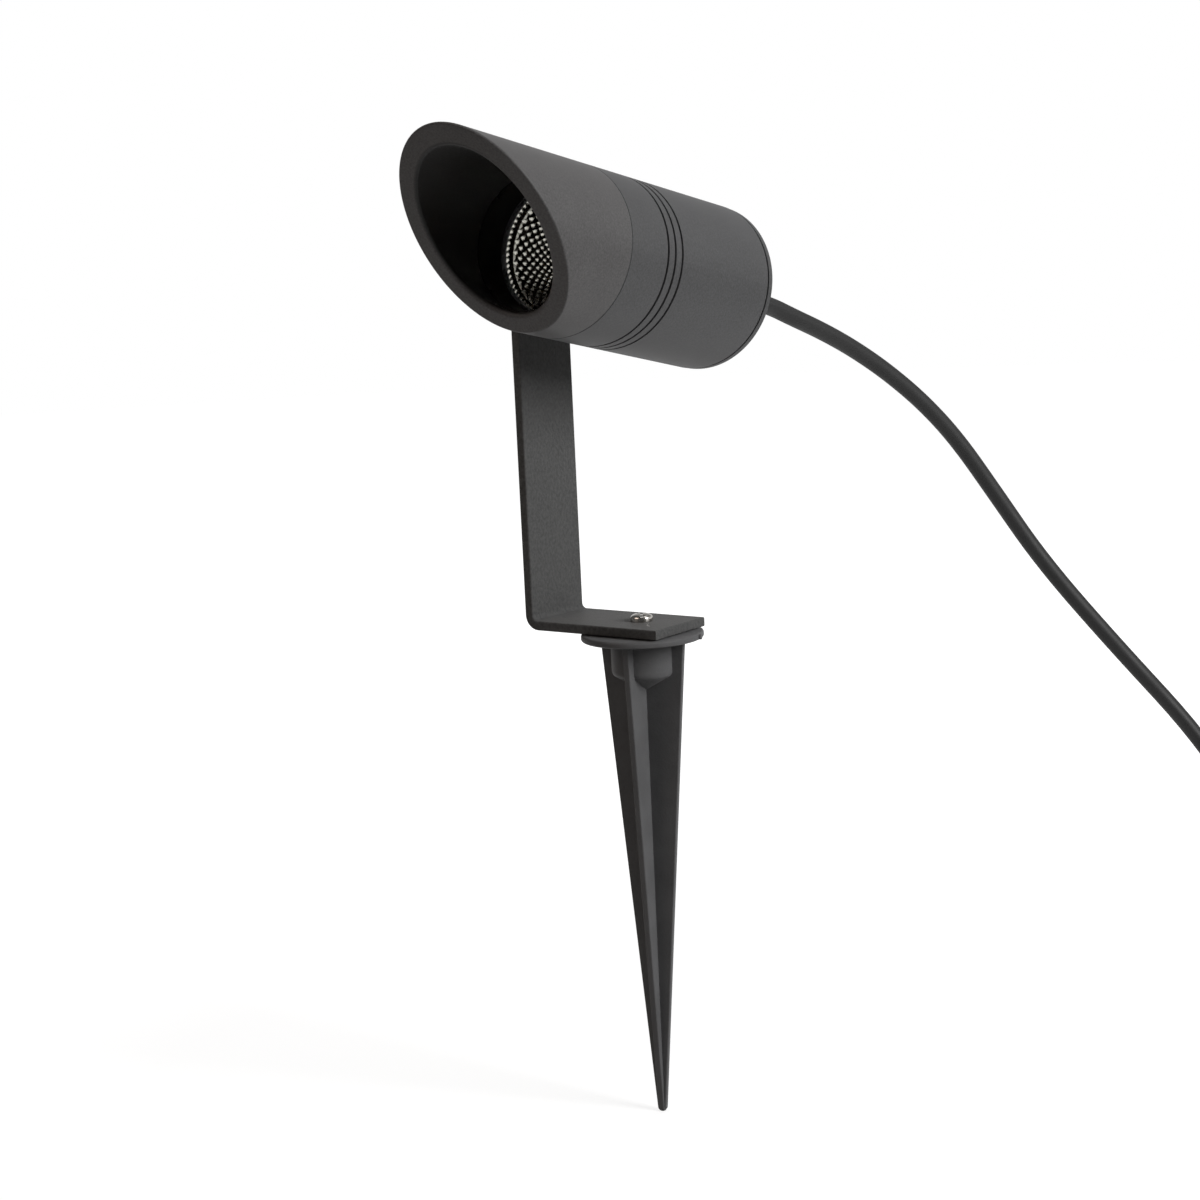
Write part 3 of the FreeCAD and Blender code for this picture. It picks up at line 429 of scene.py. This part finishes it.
# A moulded finish's colour, grain size, roughness, grain depth and, if not the usual, gloss
moulded_finishes = {
    "spike_plastic": (spike_colour, 0.0009, 0.5, 0.00006),
    "black_rubber": ((0.008, 0.008, 0.008), 0.0009, 0.56, 0.00003, 0.46),
    "seal_silicone": ((0.11, 0.11, 0.11), 0.0009, 0.6, 0.00002),
    "black_plastic": ((0.028, 0.028, 0.028), 0.0006, 0.45, 0.00002),
    "gland_plastic": ((0.032, 0.032, 0.033), 0.0006, 0.42, 0.00002),
    "white_plastic": ((0.74, 0.73, 0.70), 0.0006, 0.45, 0.00002),
    "board_white": ((0.80, 0.80, 0.77), 0.0004, 0.4, 0.00001),
    "emitter_yellow": ((0.80, 0.55, 0.08), 0.0003, 0.35, 0.00001),
    "pad_grey": ((0.40, 0.42, 0.44), 0.0006, 0.7, 0.00002),
    "wire_cover": ((0.33, 0.10, 0.05), 0.0006, 0.4, 0.00001),
}

# A metal's colour, roughness, grain size and grain depth
metal_finishes = {
    "stainless": ((0.70, 0.67, 0.63), 0.18, 0.0010, 0.000004),
    "plated_brass": ((0.72, 0.70, 0.64), 0.25, 0.0010, 0.000004),
}

materials = {
    "head_coat": powder_coat("head_coat", head_colour, *head_finish),
    # The cowl's finish paints the shade down its bore
    "cowl_coat_and_bore_shade": cowl_coat_and_bore_shade("cowl_coat_and_bore_shade", cowl_colour, black_colour),
    "bracket_coat": powder_coat("bracket_coat", bracket_colour, *bracket_finish),
    "inner_coat": powder_coat("inner_coat", black_colour, *inner_finish),
    # The reflector's metal carries painted shade on the sides of its domes that face away from the
    # mouth
    "reflector_metal": painted_shade_metal("reflector_metal", reflector_colour,
                                    reflector_painted_shade_colour, roughness=0.22),
    "lamp_glass": clear_glass("lamp_glass"),
}
materials.update((name, moulded_plastic(name, *finish))
                 for name, finish in moulded_finishes.items())
materials.update((name, bright_metal(name, *finish))
                 for name, finish in metal_finishes.items())


def dress(piece, material):
    piece.data.materials.clear()
    piece.data.materials.append(material)


def dress_solids():
    """Give each solid its slot's finish and smooth shading between sharp edges."""
    slots = {row["node"]: row["material_slot"] for row in frame["record"]["subparts"]}
    for name, piece in frame["nodes"].items():
        dress(piece, materials[slots[name]])
        smooth(piece, solid_smooth_angle)
    # The cowl gets the finish with painted shade down its bore
    dress(frame["nodes"]["cowl"], materials["cowl_coat_and_bore_shade"])


# Camera and lead

def add_camera():
    columns = Matrix((camera_right, camera_up, camera_back)).transposed().to_4x4()
    data = bpy.data.cameras.new("studio_camera")
    data.lens = camera_lens
    data.sensor_width = camera_sensor
    camera = bpy.data.objects.new("studio_camera", data)
    camera.matrix_world = Matrix.Translation(camera_place) @ columns
    bpy.context.scene.collection.objects.link(camera)
    bpy.context.scene.camera = camera


def coil_radius(turns):
    if turns <= coil_turns_in:
        return coil_start_radius - coil_pitch * turns
    return coil_start_radius - coil_pitch * (2 * coil_turns_in - turns)


def coil_point(turns):
    """A control point of the two-layer coil, set out a little so the line keeps its radius."""
    climb = min(max((turns - coil_turns_in) / coil_climb_turns + 0.5, 0), 1)
    rise = coil_layer_height * (1 - math.cos(math.pi * climb)) / 2
    bearing = math.pi / 2 - 2 * math.pi * turns
    radius = coil_radius(turns) / math.cos(math.pi / points_per_turn)
    return coil_centre + Vector((radius * math.cos(bearing), radius * math.sin(bearing), rise))


def lead_points():
    points = [gland_mouth] + [Vector(point) for point in free_run]
    last_turn = coil_turns_in + coil_turns_out
    steps = round(last_turn * points_per_turn)
    points += [coil_point(step / points_per_turn) for step in range(steps + 1)]
    return points + [coil_finish, plug_entry + Vector((0, tail_run, 0)), plug_entry]


def smooth_line(name, points):
    """A smooth curve with the points as its control points."""
    data = bpy.data.curves.new(name, "CURVE")
    data.dimensions = "3D"
    spline = data.splines.new("NURBS")
    spline.points.add(len(points) - 1)
    for control, point in zip(spline.points, points):
        control.co = (*point, 1)
    spline.order_u = line_order
    spline.use_endpoint_u = True
    spline.resolution_u = line_steps
    curve = bpy.data.objects.new(name, data)
    bpy.context.scene.collection.objects.link(curve)
    bpy.context.view_layer.update()
    return curve


def add_lead():
    curve = smooth_line("power_lead", lead_points())
    line = bpy.data.meshes.new_from_object(curve)
    bpy.data.meshes.remove(line)
    curve.data.bevel_depth = lead_radius
    curve.data.bevel_resolution = lead_quarter_steps
    curve.data.use_fill_caps = True
    hold(curve)
    bpy.ops.object.convert(target="MESH")
    lead = bpy.context.object
    dress(lead, materials["black_rubber"])
    smooth(lead, lead_smooth_angle)
    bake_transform(lead)
    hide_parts("lead_free", "lead_coil", "lead_tail")


# Reflector

def bowl_place(radius):
    """Place along the head's axis of the parabola through the reflector's neck and rim."""
    depth = reflector_rim_place - reflector_neck_place
    spread_out = reflector_rim_radius ** 2 - reflector_neck_radius ** 2
    return reflector_neck_place + depth * (radius ** 2 - reflector_neck_radius ** 2) / spread_out


def facet_ring_radii():
    """Radii of rings half a facet apart along the bowl, so that every facet is about square."""
    depth = reflector_rim_place - reflector_neck_place
    spread_out = reflector_rim_radius ** 2 - reflector_neck_radius ** 2
    radii = [reflector_neck_radius]
    while radii[-1] < collar_radius:
        slope = 2 * depth * radii[-1] / spread_out
        half_facet = math.pi * radii[-1] / facet_columns
        radii.append(radii[-1] + half_facet / math.hypot(1, slope))
    stretch = (collar_radius - reflector_neck_radius) / (radii[-1] - reflector_neck_radius)
    return [reflector_neck_radius + (radius - reflector_neck_radius) * stretch
            for radius in radii]


def grow_ring(scale, rise, turn=0.0):
    """Extrude the chosen ring into a next one, wider by the scale, higher by the rise, turned."""
    bpy.ops.mesh.extrude_edges_move(TRANSFORM_OT_translate={"value": (0, 0, rise)})
    bpy.ops.transform.resize(value=(scale, scale, 1), center_override=(0, 0, 0))
    if turn:
        bpy.ops.transform.rotate(value=turn, orient_axis="Z", center_override=(0, 0, 0))


def choose(piece, kind, wanted):
    """Select the edges or faces of a piece in edit mode for which the test holds."""
    bpy.ops.mesh.select_mode(type="EDGE" if kind == "edges" else "FACE")
    bpy.ops.mesh.select_all(action="DESELECT")
    bpy.ops.object.mode_set(mode="OBJECT")
    for part in getattr(piece.data, kind):
        part.select = wanted(part)
    bpy.ops.object.mode_set(mode="EDIT")


def at_place(piece, place):
    """A test for edges whose two ends lie at one place along the bowl's axis."""
    def wanted(edge):
        ends = [piece.data.vertices[index].co.z for index in edge.vertices]
        return all(abs(end - place) < same_place for end in ends)
    return wanted


def line_bowl(bowl, radii):
    """Grow rings turned by half a facet each, and join their triangles into diamonds."""
    for inner, outer in zip(radii, radii[1:]):
        grow_ring(outer / inner, bowl_place(outer) - bowl_place(inner), math.pi / facet_columns)
    bpy.ops.mesh.select_all(action="SELECT")
    bpy.ops.mesh.quads_convert_to_tris(quad_method="SHORTEST_DIAGONAL")

    def across(edge):
        ends = [bowl.data.vertices[index].co for index in edge.vertices]
        level = abs(ends[0].z - ends[1].z) < same_place
        lowest = reflector_neck_place + same_place
        highest = bowl_place(collar_radius) - same_place
        return level and lowest < ends[0].z < highest

    choose(bowl, "edges", across)
    bpy.ops.mesh.dissolve_edges(use_verts=False)


def close_bowl(radii):
    """The flange and the smooth outer wall, from the rim back to the neck."""
    grow_ring(reflector_flange_radius / reflector_rim_radius, 0)
    grow_ring(1, -reflector_flange_thickness)
    outer = reflector_rim_radius + reflector_wall
    grow_ring(outer / reflector_flange_radius, 0)
    place = reflector_rim_place - reflector_flange_thickness
    for radius in radii[::-wall_ring_step] + [reflector_neck_radius]:
        grow_ring((radius + reflector_wall) / outer, bowl_place(radius) - place)
        outer = radius + reflector_wall
        place = bowl_place(radius)
    bpy.ops.mesh.select_all(action="DESELECT")
    bpy.ops.mesh.select_non_manifold()
    bpy.ops.mesh.bridge_edge_loops()
    bpy.ops.mesh.select_all(action="SELECT")
    bpy.ops.mesh.normals_make_consistent(inside=False)


def add_reflector():
    """A bowl lined with small domed diamonds, a collar of narrow domes, a flange and a wall."""
    radii = facet_ring_radii()
    clear_selection()
    bpy.ops.mesh.primitive_circle_add(vertices=facet_columns, radius=radii[0])
    bowl = bpy.context.object
    bowl.name = "faceted_reflector"
    bpy.ops.object.mode_set(mode="EDIT")
    bpy.ops.mesh.select_all(action="SELECT")
    bpy.ops.transform.translate(value=(0, 0, reflector_neck_place))
    line_bowl(bowl, radii)
    collar_place = bowl_place(collar_radius)
    choose(bowl, "edges", at_place(bowl, collar_place))
    bpy.ops.mesh.subdivide(number_cuts=1)
    choose(bowl, "edges", at_place(bowl, collar_place))
    grow_ring(reflector_rim_radius / collar_radius, reflector_rim_place - collar_place)
    bpy.ops.mesh.select_all(action="SELECT")
    bpy.ops.mesh.mark_sharp()
    choose(bowl, "edges", at_place(bowl, reflector_rim_place))
    close_bowl(radii[1:-1])

    def facing_axis(face):
        return face.normal.x * face.center.x + face.normal.y * face.center.y < inward_limit

    choose(bowl, "polygons", facing_axis)
    bpy.ops.mesh.inset(thickness=facet_ring_share, depth=facet_rise_share,
                       use_individual=True, use_relative_offset=True)
    bpy.ops.mesh.poke(offset=facet_tip_share, use_relative_offset=True)
    bpy.ops.object.mode_set(mode="OBJECT")
    bowl.matrix_world = head_frame()
    bpy.ops.object.transform_apply(location=True, rotation=True, scale=True)
    dress(bowl, materials["reflector_metal"])
    smooth(bowl, facet_smooth_angle)
    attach(bowl, "head")
    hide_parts("reflector")


# Foot screw

def dome_height(radius):
    """Height over its seat of the screw head's crown, a flattened ball on a short straight rim."""
    crown = screw_head_height - screw_rim_height
    share = radius / screw_head_radius
    return screw_rim_height + crown * (1 - share ** screw_crown_power) ** (1 / screw_crown_power)


def turned_piece(name, profile, sides):
    """A solid turned about Z from (radius, height) points, started and ended with flat faces."""
    clear_selection()
    radius, height = profile[0]
    bpy.ops.mesh.primitive_circle_add(vertices=sides, radius=radius, fill_type="NGON")
    piece = bpy.context.object
    piece.name = name
    bpy.ops.object.mode_set(mode="EDIT")
    bpy.ops.mesh.select_all(action="SELECT")
    bpy.ops.transform.translate(value=(0, 0, height))
    for next_radius, next_height in profile[1:]:
        rise = next_height - height
        bpy.ops.mesh.extrude_region_move(TRANSFORM_OT_translate={"value": (0, 0, rise)})
        scale = next_radius / radius
        bpy.ops.transform.resize(value=(scale, scale, 1), center_override=(0, 0, 0))
        radius, height = next_radius, next_height
    bpy.ops.mesh.select_all(action="SELECT")
    bpy.ops.mesh.normals_make_consistent(inside=False)
    bpy.ops.object.mode_set(mode="OBJECT")
    return piece


def slot_cutter(length, width, depth, floor_scale, turn=0.0):
    """A cutter for a slot in the screw's head, narrower or shorter at its floor."""
    clear_selection()
    bpy.ops.mesh.primitive_cube_add(size=1, location=(0, 0, screw_head_height))
    cutter = bpy.context.object
    cutter.scale = (length, width, 2 * depth)
    cutter.rotation_euler.z = turn
    bpy.ops.object.transform_apply(location=True, rotation=True, scale=True)
    bpy.ops.object.mode_set(mode="EDIT")
    choose(cutter, "polygons", lambda face: face.normal.z < downward_limit)
    bpy.ops.transform.resize(value=floor_scale, center_override=(0, 0, 0))
    bpy.ops.object.mode_set(mode="OBJECT")
    return cutter


def recess_arm(turn):
    """A cutter for one arm of the cross."""
    floor_scale = (recess_floor_share, recess_floor_share, 1)
    return slot_cutter(recess_length, recess_width, recess_depth, floor_scale, turn)


def driver_slot():
    """A cutter for the slot that runs right across the head."""
    length = 2 * screw_head_radius + slot_overrun
    return slot_cutter(length, slot_width, slot_depth, (1, slot_floor_share, 1))


def cut_away(piece, cutter):
    """Cut a cutter's shape out of a piece, and remove the cutter."""
    hold(piece)
    cut = piece.modifiers.new("recess", "BOOLEAN")
    cut.operation = "DIFFERENCE"
    cut.solver = "EXACT"
    cut.object = cutter
    bpy.ops.object.modifier_apply(modifier=cut.name)
    bpy.data.objects.remove(cutter)


def add_foot_screw():
    """A domed screw with a cross recess, a slot and slightly rounded edges."""
    profile = [(screw_shank_radius - screw_tip_bevel, -screw_shank_length),
               (screw_shank_radius, screw_tip_bevel - screw_shank_length),
               (screw_shank_radius, 0),
               (screw_head_radius - screw_edge_round, 0),
               (screw_head_radius, screw_edge_round)]
    for share in screw_ring_shares:
        radius = share * screw_head_radius
        profile.append((radius, dome_height(radius)))
    screw = turned_piece("crossed_foot_screw", profile, screw_sides)
    for turn in (0, math.pi / 2):
        cut_away(screw, recess_arm(turn))
    cut_away(screw, driver_slot())
    hold(screw)
    bevel = screw.modifiers.new("edges", "BEVEL")
    bevel.width = screw_edge_round
    bevel.segments = screw_edge_segments
    bevel.limit_method = "ANGLE"
    bevel.angle_limit = screw_bevel_angle
    bpy.ops.object.modifier_apply(modifier=bevel.name)
    seat = Matrix.Translation((0, 0, screw_seat_height))
    screw.matrix_world = seat @ Matrix.Rotation(screw_turn, 4, "Z")
    bpy.ops.object.transform_apply(location=True, rotation=True, scale=True)
    dress(screw, materials["stainless"])
    smooth(screw, screw_smooth_angle)
    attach(screw, "spike")
    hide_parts("foot_screw")


# Floor, light and backdrop

def calculate(tree, operation, first, second):
    """One sum, product or the like of two values."""
    step = tree.nodes.new("ShaderNodeMath")
    step.operation = operation
    tree.links.new(first, step.inputs[0])
    tree.links.new(second, step.inputs[1])
    return step.outputs["Value"]


def along(tree, axis, place, start, end, to_start, to_end):
    """A value that changes along one axis, between two places on it."""
    parts = tree.nodes.new("ShaderNodeSeparateXYZ")
    tree.links.new(place, parts.inputs["Vector"])
    return spread(tree, parts.outputs[axis], start, end, to_start, to_end)


def seen_share(tree, backdrop):
    """How much a ray sees of the white backdrop, straight, through glass or mirrored.

    Mirrored it is white only as far as the share handed in, which dims towards the room in front.
    """
    rays = tree.nodes.new("ShaderNodeLightPath")
    mirrored = calculate(tree, "MULTIPLY", rays.outputs["Is Glossy Ray"], backdrop)
    direct = calculate(tree, "MAXIMUM", rays.outputs["Is Camera Ray"],
                       rays.outputs["Is Transmission Ray"])
    return calculate(tree, "MAXIMUM", direct, mirrored)


def floor_material():
    """A pale diffuse floor that is seen as white, apart from the light's shadow."""
    material = bpy.data.materials.new("studio_floor")
    material.use_nodes = True
    tree = material.node_tree
    tree.nodes.clear()
    plain = tree.nodes.new("ShaderNodeBsdfDiffuse")
    plain.inputs["Color"].default_value = (*floor_colour, 1)
    faint = tree.nodes.new("ShaderNodeBsdfDiffuse")
    faint.inputs["Color"].default_value = (*shadow_colour, 1)
    glow = tree.nodes.new("ShaderNodeEmission")
    place = object_place(tree)
    distance = tree.nodes.new("ShaderNodeVectorMath")
    distance.operation = "LENGTH"
    tree.links.new(place, distance.inputs[0])
    away = distance.outputs["Value"]
    tree.links.new(spread(tree, away, *glow_places, *glow_levels), glow.inputs["Strength"])
    near = spread(tree, away, *floor_turn, near_floor_share, far_floor_share)
    depth = along(tree, "Y", place, *table_edge, room_share, 1.0)
    table = calculate(tree, "MULTIPLY", depth, near)
    seen = tree.nodes.new("ShaderNodeAddShader")
    tree.links.new(faint.outputs[0], seen.inputs[0])
    tree.links.new(glow.outputs[0], seen.inputs[1])
    choice = tree.nodes.new("ShaderNodeMixShader")
    tree.links.new(seen_share(tree, table), choice.inputs["Fac"])
    tree.links.new(plain.outputs[0], choice.inputs[1])
    tree.links.new(seen.outputs[0], choice.inputs[2])
    output = tree.nodes.new("ShaderNodeOutputMaterial")
    tree.links.new(choice.outputs[0], output.inputs["Surface"])
    return material


def add_floor():
    clear_selection()
    bpy.ops.mesh.primitive_circle_add(vertices=floor_sides, radius=floor_radius,
                                      fill_type="NGON", location=(0, 0, floor_height))
    floor = bpy.context.object
    floor.name = "studio_floor"
    dress(floor, floor_material())


def add_world():
    """A backdrop seen as white all round, which lights the object only a little."""
    world = bpy.data.worlds.new("studio_air")
    world.use_nodes = True
    tree = world.node_tree
    background = tree.nodes["Background"]
    direction = tree.nodes.new("ShaderNodeTexCoord").outputs["Generated"]
    height = along(tree, "Z", direction, *backdrop_rise, backdrop_foot_share, backdrop_top_share)
    depth = along(tree, "Y", direction, *backdrop_edge, room_share, 1.0)
    share = seen_share(tree, calculate(tree, "MULTIPLY", height, depth))
    level = spread(tree, share, 0.0, 1.0, ambient_level, 1.0)
    tree.links.new(level, background.inputs["Strength"])
    background.inputs["Color"].default_value = (1, 1, 1, 1)
    bpy.context.scene.world = world


def add_softbox(name, place, width, height, power, colour=(1, 1, 1), mirrored=True):
    """A soft lamp aimed at the light, with its size in metres and its power in watts."""
    data = bpy.data.lights.new(name, "AREA")
    data.shape = "RECTANGLE"
    data.size = width
    data.size_y = height
    data.energy = power
    data.color = colour
    lamp = bpy.data.objects.new(name, data)
    lamp.location = place
    lamp.visible_glossy = mirrored
    lamp.rotation_euler = (Vector(place) - lamp_target).to_track_quat("Z", "Y").to_euler()
    bpy.context.scene.collection.objects.link(lamp)


def add_lights():
    add_softbox("side_light", (1.30, 0.12, 0.64), 0.5, 0.7, 19.0)
    add_softbox("top_light", (0.15, 0.15, 1.5), 1.2, 1.2, 5.8)
    add_softbox("front_light", (-0.6, -1.3, 0.79), 1.0, 1.0, 4.4, front_light_colour)
    add_softbox("left_fill", (-1.6, 0.5, 0.6), 1.6, 1.2, 12.0, mirrored=False)
    add_softbox("back_fill", (0.1, 1.6, 0.5), 1.2, 1.0, 8.0, mirrored=False)


add_camera()
add_lead()
dress_solids()
add_reflector()
add_foot_screw()
add_floor()
add_world()
add_lights()

bpy.context.scene.view_settings.view_transform = "Standard"
